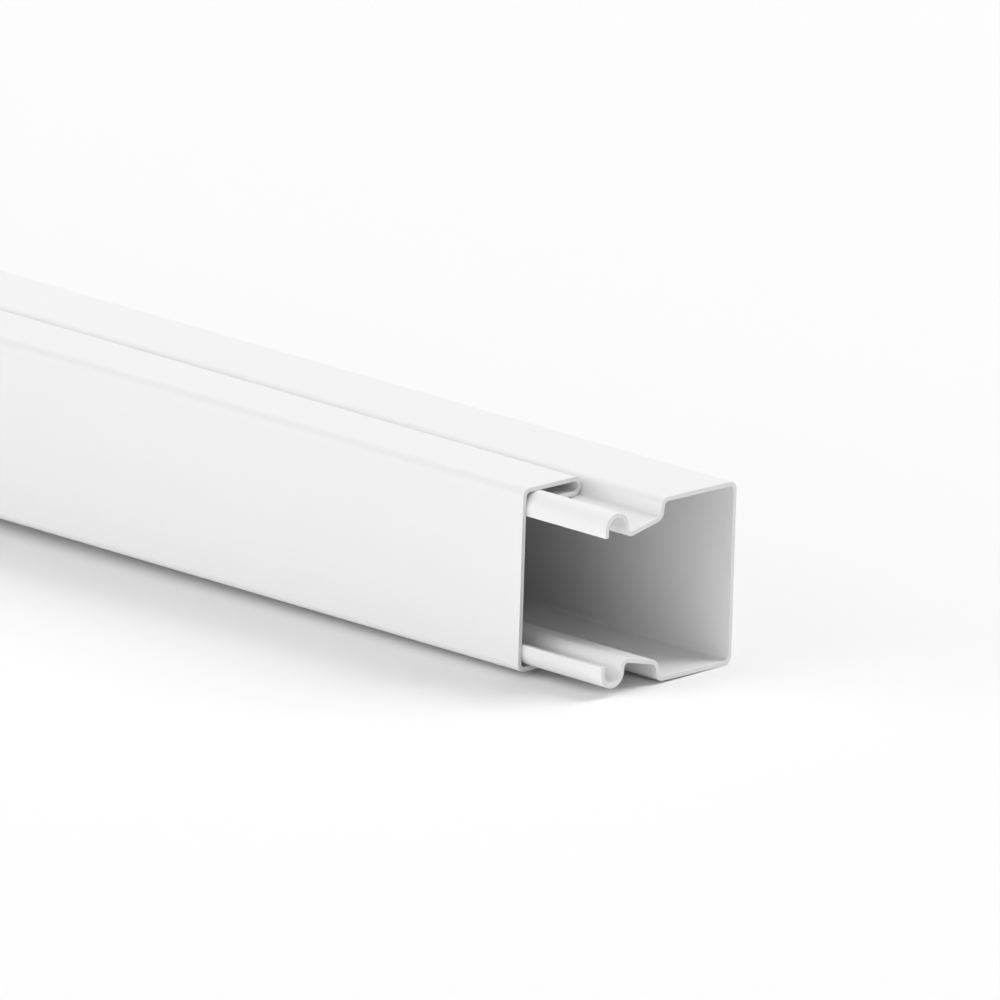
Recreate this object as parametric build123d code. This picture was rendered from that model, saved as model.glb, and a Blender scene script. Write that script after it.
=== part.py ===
from build123d import *
from math import cos, radians, tan
import os

# Steel cable trunking: a bent channel with a rounded rail along each front edge,
# and a hooked cover that slides along the rails and closes the open front.
# Millimetres. X runs along the trunking, with the near end at +X; +Y is the wall side.
# The origin is on the floor, under the middle of the two pieces together.

# Stock
STOCK_LENGTH = 2000.0       # sold length of the channel and of the cover
COVER_SLID_BACK = 23.3      # the cover's near end lies this far behind the channel's

# Outside of the closed trunking
DEPTH = 40.0                # wall face to front face
HEIGHT = 40.0
SHEET = 1.0                 # thickness of the steel
BEND_INSIDE = 1.0           # radius on the inner side of each ordinary bend

# Step in the channel, which lets the cover's edge lie flush
STEP_FROM_FRONT = 17.84     # front face back to the step's top corner
STEP_LEAN = 9.0             # degrees from upright

# Rounded rail along the channel's front edge
RAIL_WIDTH = 6.9            # over both legs
RAIL_HEEL = 1.53            # rail's centre down to the corner where the sloping web meets it
RAIL_LIP = 1.56             # rail's centre down to the raw edge of the front leg
RUNNING_GAP = 0.05          # rail to cover, at the crown and at the front leg

# Open hem along each rear edge of the cover
HEM_INSIDE = 1.0            # radius inside the fold
SEAM_GAP = 0.1              # fold to step, square to the step's face
HEM_FOOT_GAP = 0.36         # fold down to the sloping web
HEM_END_GAP = 0.35          # raw edge of the folded leg to the rail

# Wall fixing slots along the middle of the channel's back
SLOT_LENGTH = 12.0
SLOT_WIDTH = 5.5
SLOT_PITCH = 250.0
SLOT_COUNT = 8

# Worked out from the above
BEND_OUTSIDE = BEND_INSIDE + SHEET
HEM_OUTSIDE = HEM_INSIDE + SHEET
RAIL_RADIUS = RAIL_WIDTH / 2
RAIL_FRONT = DEPTH - SHEET - RUNNING_GAP
RAIL_REAR = RAIL_FRONT - RAIL_WIDTH
RAIL_CROWN_DROP = SHEET + RUNNING_GAP
RAIL_CENTRE_DROP = RAIL_CROWN_DROP + RAIL_RADIUS
STEP_FROM_WALL = DEPTH - STEP_FROM_FRONT
STEP_RUN_PER_DROP = tan(radians(STEP_LEAN))
STEP_BESIDE_HEM = STEP_FROM_WALL + HEM_OUTSIDE * STEP_RUN_PER_DROP
HEM_CENTRE = STEP_BESIDE_HEM + (HEM_OUTSIDE + SEAM_GAP) / cos(radians(STEP_LEAN))
HEM_DROP = 2 * HEM_OUTSIDE
HEM_END = RAIL_REAR - HEM_END_GAP
CHANNEL_MIDDLE = COVER_SLID_BACK / 2
COVER_MIDDLE = -COVER_SLID_BACK / 2

# The web runs straight from under the hem to the rail's heel; the step's foot lies where they meet
RAIL_HEEL_DROP = RAIL_CENTRE_DROP + RAIL_HEEL
WEB_DROP_AT_HEM = HEM_DROP + HEM_FOOT_GAP
WEB_DROP_PER_RUN = (RAIL_HEEL_DROP - WEB_DROP_AT_HEM) / (RAIL_REAR - HEM_CENTRE)
WEB_DROP_AT_STEP_TOP = WEB_DROP_AT_HEM - (HEM_CENTRE - STEP_FROM_WALL) * WEB_DROP_PER_RUN
STEP_DROP = WEB_DROP_AT_STEP_TOP / (1 - STEP_RUN_PER_DROP * WEB_DROP_PER_RUN)
STEP_FOOT_FROM_WALL = STEP_FROM_WALL + STEP_DROP * STEP_RUN_PER_DROP


def at(from_wall, drop):
    """Section point: distance in front of the wall, depth below the top face."""
    return (DEPTH / 2 - from_wall, HEIGHT / 2 - drop)


def bent_length(outer_face, sheet_side, middle):
    """One stock length of sheet, its outer face along the given line, centred on one X."""
    section = make_face(outer_face.offset_2d(SHEET, side=sheet_side))
    across = Plane(origin=(middle, 0, HEIGHT / 2), x_dir=(0, 1, 0), z_dir=(1, 0, 0))
    return extrude(across * section, STOCK_LENGTH / 2, both=True)


# Channel: its outer face from the middle of the back, round to the rail's lip, and mirrored
with BuildLine() as channel_face:
    FilletPolyline(
        at(0, HEIGHT / 2),
        at(0, 0),
        at(STEP_FROM_WALL, 0),
        at(STEP_FOOT_FROM_WALL, STEP_DROP),
        at(RAIL_REAR, RAIL_HEEL_DROP),
        at(RAIL_REAR, RAIL_CENTRE_DROP),
        radius=[BEND_OUTSIDE, BEND_OUTSIDE, BEND_INSIDE, BEND_INSIDE],
    )
    ThreePointArc(
        at(RAIL_REAR, RAIL_CENTRE_DROP),
        at(RAIL_REAR + RAIL_RADIUS, RAIL_CROWN_DROP),
        at(RAIL_FRONT, RAIL_CENTRE_DROP),
    )
    Line(at(RAIL_FRONT, RAIL_CENTRE_DROP), at(RAIL_FRONT, RAIL_CENTRE_DROP + RAIL_LIP))
    mirror(about=Plane.XZ)

channel = bent_length(channel_face.wire(), Side.LEFT, CHANNEL_MIDDLE)

# Wall fixing slots, cut through the back
back = Plane(origin=(CHANNEL_MIDDLE, DEPTH / 2, HEIGHT / 2), x_dir=(1, 0, 0), z_dir=(0, -1, 0))
slot = SlotOverall(SLOT_LENGTH, SLOT_WIDTH)
slots = [back * spot * slot for spot in GridLocations(SLOT_PITCH, 0, SLOT_COUNT, 1)]
channel -= extrude(Sketch() + slots, SHEET, both=True)

# Cover: its outer face from the middle of the front, round to the hem's raw edge, and mirrored
with BuildLine() as cover_face:
    FilletPolyline(
        at(DEPTH, HEIGHT / 2),
        at(DEPTH, 0),
        at(HEM_CENTRE, 0),
        radius=BEND_OUTSIDE,
    )
    ThreePointArc(
        at(HEM_CENTRE, 0),
        at(HEM_CENTRE - HEM_OUTSIDE, HEM_OUTSIDE),
        at(HEM_CENTRE, HEM_DROP),
    )
    Line(at(HEM_CENTRE, HEM_DROP), at(HEM_END, HEM_DROP))
    mirror(about=Plane.XZ)

cover = bent_length(cover_face.wire(), Side.RIGHT, COVER_MIDDLE)

# One file per piece
os.makedirs("parts", exist_ok=True)
export_step(channel, "parts/trunking_channel.step")
export_step(cover, "parts/cover.step")
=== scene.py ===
from math import cos, pi, radians, sin, tan

import bmesh
import bpy
from mathutils import Matrix, Vector
from mathutils.geometry import tessellate_polygon


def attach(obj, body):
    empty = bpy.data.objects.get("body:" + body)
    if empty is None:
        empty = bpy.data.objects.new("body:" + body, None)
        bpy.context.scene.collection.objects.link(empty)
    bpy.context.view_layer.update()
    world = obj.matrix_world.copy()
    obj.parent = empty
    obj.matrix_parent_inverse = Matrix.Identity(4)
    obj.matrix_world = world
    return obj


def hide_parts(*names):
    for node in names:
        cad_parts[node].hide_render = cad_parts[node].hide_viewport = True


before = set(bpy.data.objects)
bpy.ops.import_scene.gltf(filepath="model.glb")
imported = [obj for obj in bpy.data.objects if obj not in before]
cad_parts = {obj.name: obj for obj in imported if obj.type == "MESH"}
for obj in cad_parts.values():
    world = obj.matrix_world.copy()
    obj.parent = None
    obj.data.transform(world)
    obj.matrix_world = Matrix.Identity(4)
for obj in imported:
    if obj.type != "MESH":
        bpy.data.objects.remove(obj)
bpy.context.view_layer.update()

# Steel cable trunking: a bent channel with rounded rails, and the hooked cover on them.
# Both sheets are drawn here again over their solids, with finer bends and softened cut edges.

MM = 0.001

# Section, in millimetres. The sizes are the part's own, but for the four marked as finer.
STOCK_LENGTH = 2000.0
COVER_SLID_BACK = 23.3
DEPTH = 40.0                # wall face to front face
HEIGHT = 40.0
SHEET = 1.0                 # thickness of the steel
BEND_INSIDE = 1.0
LOWER_FOOT_BEND = 1.6       # finer: the foot of the lower step is bent more softly
STEP_FROM_FRONT = 17.84     # front face back to the step's top corner
STEP_LEAN = 9.0             # degrees from upright
RAIL_WIDTH = 6.9            # over both legs
RAIL_HEEL = 1.53            # rail's centre down to the corner where the web meets it
RAIL_LIP = 1.56             # rail's centre down to the raw edge of the front leg
RUNNING_GAP = 0.02          # finer: rail to cover
HEM_INSIDE = 1.12           # finer: radius inside the fold
SEAM_GAP = 0.1              # fold to step, square to the step's face
HEM_FOOT_GAP = 0.12         # finer: fold down to the web
HEM_END_GAP = 0.35          # raw edge of the folded leg to the rail

# Wall fixing slots along the middle of the channel's back
SLOT_LENGTH = 12.0
SLOT_WIDTH = 5.5
SLOT_PITCH = 250.0
SLOT_COUNT = 8
SLOT_BAY = 2 * SLOT_LENGTH  # length of back that is drawn round each slot

# Worked out from the above, as in the part
BEND_OUTSIDE = BEND_INSIDE + SHEET
HEM_OUTSIDE = HEM_INSIDE + SHEET
RAIL_RADIUS = RAIL_WIDTH / 2
RAIL_FRONT = DEPTH - SHEET - RUNNING_GAP
RAIL_REAR = RAIL_FRONT - RAIL_WIDTH
RAIL_CROWN_DROP = SHEET + RUNNING_GAP
RAIL_CENTRE_DROP = RAIL_CROWN_DROP + RAIL_RADIUS
STEP_FROM_WALL = DEPTH - STEP_FROM_FRONT
STEP_RUN_PER_DROP = tan(radians(STEP_LEAN))
STEP_BESIDE_HEM = STEP_FROM_WALL + HEM_OUTSIDE * STEP_RUN_PER_DROP
HEM_CENTRE = STEP_BESIDE_HEM + (HEM_OUTSIDE + SEAM_GAP) / cos(radians(STEP_LEAN))
HEM_DROP = 2 * HEM_OUTSIDE
HEM_END = RAIL_REAR - HEM_END_GAP
RAIL_HEEL_DROP = RAIL_CENTRE_DROP + RAIL_HEEL
WEB_DROP_AT_HEM = HEM_DROP + HEM_FOOT_GAP
WEB_DROP_PER_RUN = (RAIL_HEEL_DROP - WEB_DROP_AT_HEM) / (RAIL_REAR - HEM_CENTRE)
WEB_DROP_AT_STEP_TOP = WEB_DROP_AT_HEM - (HEM_CENTRE - STEP_FROM_WALL) * WEB_DROP_PER_RUN
STEP_DROP = WEB_DROP_AT_STEP_TOP / (1 - STEP_RUN_PER_DROP * WEB_DROP_PER_RUN)
STEP_FOOT_FROM_WALL = STEP_FROM_WALL + STEP_DROP * STEP_RUN_PER_DROP
CHANNEL_MIDDLE = COVER_SLID_BACK / 2
COVER_MIDDLE = -COVER_SLID_BACK / 2

# How finely the bends and the softened edges are drawn
ARC_STEP = radians(5)
LEAST_ARC_STEPS = 3
SLOT_END_STEPS = 12
EDGE_ROUND = 0.06           # radius at the cut ends and round the slots
LIP_ROUND = 0.08            # radius at the raw edges along the length
LIP_TURNS = [radians(angle) for angle in (0, 30, 60, 90)]
SOFT_TURNS = [0.0, 0.5, 1.0]    # shares of a quarter turn
SAME_POINT = 1e-4            # points closer than this are one


# --- Section lines ---

def upper(from_wall, drop):
    """Section point of the upper half: across the trunking, and up from the floor."""
    return Vector((DEPTH / 2 - from_wall, HEIGHT - drop))


def mirrored(point):
    return Vector((point.x, HEIGHT - point.y))


def outer_path(corners, radii):
    """Points and outward normals along the outer face, with each corner but the ends rounded.

    The outside is to the right of the way the path runs.
    """
    path = []

    def add(point, normal):
        if not path or (path[-1][0] - point).length > SAME_POINT:
            path.append((point, normal))

    first = (corners[1] - corners[0]).normalized()
    add(corners[0], Vector((first.y, -first.x)))
    for k, radius in enumerate(radii, start=1):
        into = (corners[k] - corners[k - 1]).normalized()
        out = (corners[k + 1] - corners[k]).normalized()
        angle = abs(into.angle_signed(out, 0.0))
        side = 1 if into.x * out.y - into.y * out.x > 0 else -1
        start = corners[k] - into * (radius * tan(angle / 2))
        centre = start + Vector((-into.y, into.x)) * side * radius
        steps = max(LEAST_ARC_STEPS, round(angle / ARC_STEP))
        for i in range(steps + 1):
            spoke = Matrix.Rotation(side * angle * i / steps, 2) @ (start - centre)
            add(centre + spoke, spoke.normalized() * side)
    last = (corners[-1] - corners[-2]).normalized()
    add(corners[-1], Vector((last.y, -last.x)))
    return path


def raw_edge(point, normal, ahead):
    """Points and normals round the sheet's raw edge, from its outer face to its inner one."""
    outer_centre = point - ahead * LIP_ROUND - normal * LIP_ROUND
    inner_centre = point - ahead * LIP_ROUND - normal * (SHEET - LIP_ROUND)
    outer_turns = [normal * cos(a) + ahead * sin(a) for a in LIP_TURNS]
    inner_turns = [ahead * cos(a) - normal * sin(a) for a in LIP_TURNS]
    return (
        [(outer_centre + turn * LIP_ROUND, turn) for turn in outer_turns]
        + [(inner_centre + turn * LIP_ROUND, turn) for turn in inner_turns]
    )


def ring_round(path):
    """The sheet's whole outline: outer face, raw edge, inner face and the other raw edge.

    Returns the ring, and how many of its points lie along one face and round one raw edge.
    """
    start, end = path[0], path[-1]
    start_edge = raw_edge(*start, -Vector((-start[1].y, start[1].x)))
    end_edge = raw_edge(*end, Vector((-end[1].y, end[1].x)))
    outer = path[1:-1]
    inner = [(point - normal * SHEET, -normal) for point, normal in outer]
    ring = outer + end_edge + inner[::-1] + start_edge[::-1]
    return ring, len(outer), len(end_edge)


def stadium(spot, length, width):
    """A slot's outline in the channel's back, round its middle, with its inward normals."""
    radius = width / 2
    points = []
    for end in (1, -1):
        for i in range(SLOT_END_STEPS + 1):
            a = radians(-90 + 180 * i / SLOT_END_STEPS) + (0 if end == 1 else pi)
            x = spot + end * (length / 2 - radius) + radius * cos(a)
            z = HEIGHT / 2 + radius * sin(a)
            points.append((x, z, -cos(a), -sin(a)))
    return points


# --- Sheets ---

class Skin:
    """Vertices with their own normals, and the faces between them."""

    def __init__(self):
        self.verts, self.normals, self.faces = [], [], []

    def vertex(self, x, y, z, normal):
        """Adds a vertex, placed in millimetres, and returns its number."""
        self.verts.append((x * MM, y * MM, z * MM))
        self.normals.append(Vector(normal).normalized())
        return len(self.verts) - 1

    def station(self, ring, x, inset=0.0, turn=0.0):
        """One ring of vertices, drawn in by inset; turn leans its normals along the trunking."""
        along, across = sin(turn * pi / 2), cos(turn * pi / 2)
        row = []
        for point, normal in ring:
            across_spot = point - normal * inset
            leaning = (along, normal.x * across, normal.y * across)
            row.append(self.vertex(x, across_spot.x, across_spot.y, leaning))
        return row

    def soft_end(self, ring, middle, end):
        """The rings of one softened cut end, from the length outwards; end is -1 or 1."""
        rows = []
        for turn in SOFT_TURNS:
            angle = turn * pi / 2
            reach = STOCK_LENGTH / 2 - EDGE_ROUND + EDGE_ROUND * sin(angle)
            inset = EDGE_ROUND * (1 - cos(angle))
            rows.append(self.station(ring, middle + end * reach, inset, turn * end))
        return rows

    def cut_end(self, row, face_count, edge_count, flip):
        """A strip of quads between the sheet's two faces, and one face at each raw edge."""
        size = len(row)
        strip = []
        for i in range(face_count - 1):
            j = size - edge_count - 1 - i
            strip.append((row[i], row[i + 1], row[j - 1], row[j]))
        strip.append(tuple(row[face_count - 1:face_count + edge_count + 1]))
        strip.append(tuple(row[size - edge_count - 1:] + [row[0]]))
        self.faces += [face[::-1] if flip else face for face in strip]

    def slot_rings(self, spot):
        """A slot's rings, from the outer face round its softened edges to the inner face."""
        rings = []
        for face_y, side, turns in (
            (DEPTH / 2, 1, SOFT_TURNS),
            (DEPTH / 2 - SHEET, -1, SOFT_TURNS[::-1]),
        ):
            for turn in turns:
                into, out = sin(turn * pi / 2), cos(turn * pi / 2)
                y = face_y - side * EDGE_ROUND * (1 - out)
                wider = 2 * EDGE_ROUND * (1 - into)
                outline = stadium(spot, SLOT_LENGTH + wider, SLOT_WIDTH + wider)
                rings.append([
                    self.vertex(x, y, z, (nx * into, side * out, nz * into))
                    for x, z, nx, nz in outline
                ])
        return rings

    def slot(self, spot, left, right, outer_flat, inner_flat):
        """One slot, with the back's two flat faces filled in between it and the rows beside it."""
        rings = self.slot_rings(spot)
        for a, b in zip(rings, rings[1:]):
            for i in range(len(a)):
                j = (i + 1) % len(a)
                self.faces.append((a[i], a[j], b[j], b[i]))
        for flat, ring, facing in ((outer_flat, rings[0], 1), (inner_flat, rings[-1], -1)):
            i, j = flat, (flat + 1) % len(left)
            border = [left[i], left[j], right[j], right[i]]
            corners = border + ring
            outlines = [
                [Vector((self.verts[v][0], self.verts[v][2], 0)) for v in loop]
                for loop in (border, ring)
            ]
            for triangle in tessellate_polygon(outlines):
                a, b, c = (corners[t] for t in triangle)
                pa, pb, pc = (Vector(self.verts[v]) for v in (a, b, c))
                if (pb - pa).cross(pc - pa).y * facing < 0:
                    b, c = c, b
                self.faces.append((a, b, c))

    def mesh(self, name):
        """The finished mesh, smooth-shaded by the vertices' own normals."""
        mesh = bpy.data.meshes.new(name)
        mesh.from_pydata(self.verts, [], self.faces)
        work = bmesh.new()
        work.from_mesh(mesh)
        bmesh.ops.recalc_face_normals(work, faces=work.faces)
        work.to_mesh(mesh)
        work.free()
        mesh.polygons.foreach_set("use_smooth", [True] * len(mesh.polygons))
        mesh.normals_split_custom_set_from_vertices([tuple(n) for n in self.normals])
        mesh.update()
        return mesh


def new_object(name, mesh):
    piece = bpy.data.objects.new(name, mesh)
    bpy.context.scene.collection.objects.link(piece)
    return piece


def back_flats(ring):
    """Where the ring runs along the channel's back: its outer and its inner flat face."""
    flats = {}
    for i, (point, normal) in enumerate(ring):
        next_point = ring[(i + 1) % len(ring)][0]
        if (next_point - point).length > HEIGHT / 2:
            flats["outer" if normal.x > 0 else "inner"] = i
    return flats["outer"], flats["inner"]


def bent_length(name, path, middle, spots=()):
    """One stock length of the sheet with softened cut ends, and slots in its back at the spots."""
    skin = Skin()
    ring, face_count, edge_count = ring_round(path)
    far_end = skin.soft_end(ring, middle, -1)
    near_end = skin.soft_end(ring, middle, 1)
    bay_rows = []
    for spot in spots:
        bay_rows.append(skin.station(ring, spot - SLOT_BAY / 2))
        bay_rows.append(skin.station(ring, spot + SLOT_BAY / 2))
    rows = far_end[::-1] + bay_rows + near_end

    flats = back_flats(ring) if spots else ()
    bays = range(len(far_end), len(far_end) + len(bay_rows), 2)
    for r, (row, next_row) in enumerate(zip(rows, rows[1:])):
        for i in range(len(ring)):
            if r in bays and i in flats:
                continue
            j = (i + 1) % len(ring)
            skin.faces.append((row[i], row[j], next_row[j], next_row[i]))
    skin.cut_end(rows[0], face_count, edge_count, flip=True)
    skin.cut_end(rows[-1], face_count, edge_count, flip=False)
    for spot, bay in zip(spots, bays):
        skin.slot(spot, rows[bay], rows[bay + 1], *flats)
    return new_object(name, skin.mesh(name))


channel_half = [
    upper(0, 0),
    upper(STEP_FROM_WALL, 0),
    upper(STEP_FOOT_FROM_WALL, STEP_DROP),
    upper(RAIL_REAR, RAIL_HEEL_DROP),
    upper(RAIL_REAR, RAIL_CROWN_DROP),
    upper(RAIL_FRONT, RAIL_CROWN_DROP),
    upper(RAIL_FRONT, RAIL_CENTRE_DROP + RAIL_LIP),
]
upper_radii = [BEND_OUTSIDE, BEND_OUTSIDE, BEND_INSIDE, BEND_INSIDE, RAIL_RADIUS, RAIL_RADIUS]
lower_radii = [BEND_OUTSIDE, BEND_OUTSIDE, LOWER_FOOT_BEND, BEND_INSIDE, RAIL_RADIUS, RAIL_RADIUS]
channel_path = outer_path(
    [mirrored(point) for point in channel_half[::-1]] + channel_half,
    lower_radii[::-1] + upper_radii,
)
cover_half = [
    upper(DEPTH, 0),
    upper(HEM_CENTRE - HEM_OUTSIDE, 0),
    upper(HEM_CENTRE - HEM_OUTSIDE, HEM_DROP),
    upper(HEM_END, HEM_DROP),
]
cover_radii = [BEND_OUTSIDE, HEM_OUTSIDE, HEM_OUTSIDE]
cover_path = outer_path(
    cover_half[::-1] + [mirrored(point) for point in cover_half],
    cover_radii[::-1] + cover_radii,
)
slot_spots = [CHANNEL_MIDDLE + (i - (SLOT_COUNT - 1) / 2) * SLOT_PITCH for i in range(SLOT_COUNT)]

channel = bent_length("channel_sheet", channel_path, CHANNEL_MIDDLE, slot_spots)
cover = bent_length("cover_sheet", cover_path, COVER_MIDDLE)


# --- Coating ---

COAT_SHADE = 0.84
COAT_IOR = 1.45
COAT_SPECULAR = 0.35
PATCH_SHADE = 0.985             # of the coat's shade, in its darker patches
PATCH_NOISE = (18, 3, 0.5)      # scale, detail and roughness of each noise
GLOSS_NOISE = (60, 4, 0.6)
PEEL_NOISE = (700, 2, 0.5)
NOISE_LOW, NOISE_HIGH = 0.3, 0.7
GLOSS_LOW, GLOSS_HIGH = 0.46, 0.54
PEEL_STRENGTH = 0.25
PEEL_HEIGHT = 0.00002           # metres
SEED_SLANT = 0.37               # keeps the two pieces' patterns apart in both directions


def powder_coat(name, seed):
    """White satin powder coat: a faint orange peel, and slight patches of tone and gloss."""
    material = bpy.data.materials.new(name)
    material.use_nodes = True
    nodes, links = material.node_tree.nodes, material.node_tree.links
    shader = nodes["Principled BSDF"]
    shader.inputs["IOR"].default_value = COAT_IOR
    shader.inputs["Specular IOR Level"].default_value = COAT_SPECULAR
    place = nodes.new("ShaderNodeTexCoord")
    shift = nodes.new("ShaderNodeMapping")
    shift.inputs["Location"].default_value = (seed, seed * SEED_SLANT, 0)
    links.new(place.outputs["Object"], shift.inputs["Vector"])

    def noise(scale, detail, roughness):
        node = nodes.new("ShaderNodeTexNoise")
        node.inputs["Scale"].default_value = scale
        node.inputs["Detail"].default_value = detail
        node.inputs["Roughness"].default_value = roughness
        links.new(shift.outputs["Vector"], node.inputs["Vector"])
        return node.outputs["Fac"]

    tone = nodes.new("ShaderNodeValToRGB")
    for stop, position, shade in zip(
        tone.color_ramp.elements,
        (NOISE_LOW, NOISE_HIGH),
        (COAT_SHADE * PATCH_SHADE, COAT_SHADE),
    ):
        stop.position = position
        stop.color = (shade, shade, shade, 1)
    links.new(noise(*PATCH_NOISE), tone.inputs["Fac"])
    links.new(tone.outputs["Color"], shader.inputs["Base Color"])

    gloss = nodes.new("ShaderNodeMapRange")
    gloss.inputs["From Min"].default_value = NOISE_LOW
    gloss.inputs["From Max"].default_value = NOISE_HIGH
    gloss.inputs["To Min"].default_value = GLOSS_LOW
    gloss.inputs["To Max"].default_value = GLOSS_HIGH
    links.new(noise(*GLOSS_NOISE), gloss.inputs["Value"])
    links.new(gloss.outputs["Result"], shader.inputs["Roughness"])

    peel = nodes.new("ShaderNodeBump")
    peel.inputs["Strength"].default_value = PEEL_STRENGTH
    peel.inputs["Distance"].default_value = PEEL_HEIGHT
    links.new(noise(*PEEL_NOISE), peel.inputs["Height"])
    links.new(peel.outputs["Normal"], shader.inputs["Normal"])
    return material


for piece, node, body, seed in (
    (channel, "trunking_channel", "channel", 3.1),
    (cover, "cover", "cover", 7.7),
):
    piece.data.materials.append(powder_coat(piece.name + "_coat", seed))
    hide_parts(node)
    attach(piece, body)


# --- Floor ---

# Level, but for a shallow dip under the front of the near end, as in the picture. The dip falls
# to the front from the trunking's back edge, and more gently from the near end to the left. Metres.
FLOOR_SHADE = 0.92
FLOOR_REACH = 40.0
FALL_TO_FRONT = tan(radians(1.6))
FALL_TO_LEFT = tan(radians(0.45))
BACK_EDGE = 0.018
FRONT_EDGE = -0.02
FRONT_LEVEL = -0.1              # in front of this the floor falls no further to the front
NEAR_END = (STOCK_LENGTH + COVER_SLID_BACK) / 2 * MM
DIP_X = 0.75                    # the dip is whole from here to past the near end
DIP_END_X = 0.5                 # and it has run out here


def floor_drop(x, y):
    if x < DIP_X or y >= BACK_EDGE:
        return 0.0
    to_left = FALL_TO_LEFT * max(0.0, NEAR_END - x) if y <= FRONT_EDGE else 0.0
    return FALL_TO_FRONT * (BACK_EDGE - max(FRONT_LEVEL, y)) + to_left


floor_xs = [-FLOOR_REACH, DIP_END_X, DIP_X, NEAR_END, FLOOR_REACH]
floor_ys = [-FLOOR_REACH, FRONT_LEVEL, FRONT_EDGE, BACK_EDGE, FLOOR_REACH]
floor_row = len(floor_xs)
floor_mesh = bpy.data.meshes.new("floor")
floor_mesh.from_pydata(
    [(x, y, -floor_drop(x, y)) for y in floor_ys for x in floor_xs],
    [],
    [
        (k, k + 1, k + 1 + floor_row, k + floor_row)
        for j in range(len(floor_ys) - 1)
        for k in range(j * floor_row, (j + 1) * floor_row - 1)
    ],
)
floor = new_object("floor", floor_mesh)
floor_material = bpy.data.materials.new("floor")
floor_material.use_nodes = True
floor_shader = floor_material.node_tree.nodes["Principled BSDF"]
floor_shader.inputs["Base Color"].default_value = (FLOOR_SHADE, FLOOR_SHADE, FLOOR_SHADE, 1)
floor_shader.inputs["Roughness"].default_value = 1.0
floor_shader.inputs["Specular IOR Level"].default_value = 0.0
floor_mesh.materials.append(floor_material)


# --- Light ---

# Soft areas of light: compass direction and height in degrees, tightness, and the light given.
# Direction 0 is +X and 90 is +Y. The light given is what nearly reaches a face that looks straight
# at the area, where 1 shows a colour as it is written. It hardly changes with the tightness.
SOFT_AREAS = (
    (230, 8, 20, 0.522),        # low, from the front left
    (260, 8, 20, 0.115),
    (290, 8, 20, 0.082),
    (305, 8, 20, 0.034),
    (290, 25, 12, 0.132),
    (250, 45, 12, 0.252),
    (60, 30, 30, 0.219),        # from behind
    (70, 45, 20, 0.481),
    (60, 60, 60, 0.300),
    (120, 66, 24, 0.139),       # from above
    (240, 66, 24, 0.096),
    (0, 90, 24, 0.110),
)

world = bpy.data.worlds.new("studio")
bpy.context.scene.world = world
world.use_nodes = True
nodes, links = world.node_tree.nodes, world.node_tree.links
nodes.clear()


def math_node(kind, a, b):
    """Output of a math node on two values, each a number or another node's output."""
    node = nodes.new("ShaderNodeMath")
    node.operation = kind
    for socket, value in zip(node.inputs, (a, b)):
        if isinstance(value, (int, float)):
            socket.default_value = value
        else:
            links.new(value, socket)
    return node.outputs[0]


direction = nodes.new("ShaderNodeTexCoord")
strength = 0.0
for compass, height, tightness, given in SOFT_AREAS:
    compass, height = radians(compass), radians(height)
    towards = nodes.new("ShaderNodeVectorMath")
    towards.operation = "DOT_PRODUCT"
    links.new(direction.outputs["Generated"], towards.inputs[0])
    towards.inputs[1].default_value = (
        cos(compass) * cos(height), sin(compass) * cos(height), sin(height))
    ahead = math_node("MAXIMUM", towards.outputs["Value"], 0.0)
    area = math_node("POWER", ahead, tightness)
    brightness = given * (tightness + 1) / 2
    strength = math_node("ADD", math_node("MULTIPLY", area, brightness), strength)
light = nodes.new("ShaderNodeBackground")
links.new(strength, light.inputs["Strength"])

# The camera, reflections and anything clear see plain white in place of the soft areas
white = nodes.new("ShaderNodeBackground")
white.inputs["Color"].default_value = (1, 1, 1, 1)
white.inputs["Strength"].default_value = 1.0
ray = nodes.new("ShaderNodeLightPath")
sees_white = math_node("MAXIMUM", ray.outputs["Is Camera Ray"], ray.outputs["Is Glossy Ray"])
sees_white = math_node("MAXIMUM", sees_white, ray.outputs["Is Transmission Ray"])
mix = nodes.new("ShaderNodeMixShader")
links.new(sees_white, mix.inputs["Fac"])
links.new(light.outputs["Background"], mix.inputs[1])
links.new(white.outputs["Background"], mix.inputs[2])
out = nodes.new("ShaderNodeOutputWorld")
links.new(mix.outputs["Shader"], out.inputs["Surface"])


# --- Camera ---

# The picture is a parallel view. A very long lens comes close to it, and still lets the other
# views show the whole length. Metres, and millimetres of lens.
AZIMUTH = radians(44.1924)
ELEVATION = radians(15.2840)
ROLL = radians(1.80955)
AIM = Vector((0.940397, 0.022354, 0.02004))
DISTANCE = 9.64562
LENS = 1650
SENSOR_WIDTH = 36
CLIP_START = 0.1
CLIP_END = 200

back = Vector((sin(AZIMUTH) * cos(ELEVATION), -cos(AZIMUTH) * cos(ELEVATION), sin(ELEVATION)))
level_right = Vector((cos(AZIMUTH), sin(AZIMUTH), 0))
level_up = back.cross(level_right)
right = level_right * cos(ROLL) + level_up * sin(ROLL)
up = level_up * cos(ROLL) - level_right * sin(ROLL)
lens = bpy.data.cameras.new("camera")
lens.lens = LENS
lens.sensor_width = SENSOR_WIDTH
lens.clip_start = CLIP_START
lens.clip_end = CLIP_END
camera = new_object("camera", lens)
camera.matrix_world = Matrix((right, up, back)).transposed().to_4x4()
camera.location = AIM + back * DISTANCE
bpy.context.scene.camera = camera
bpy.context.scene.view_settings.view_transform = "Standard"
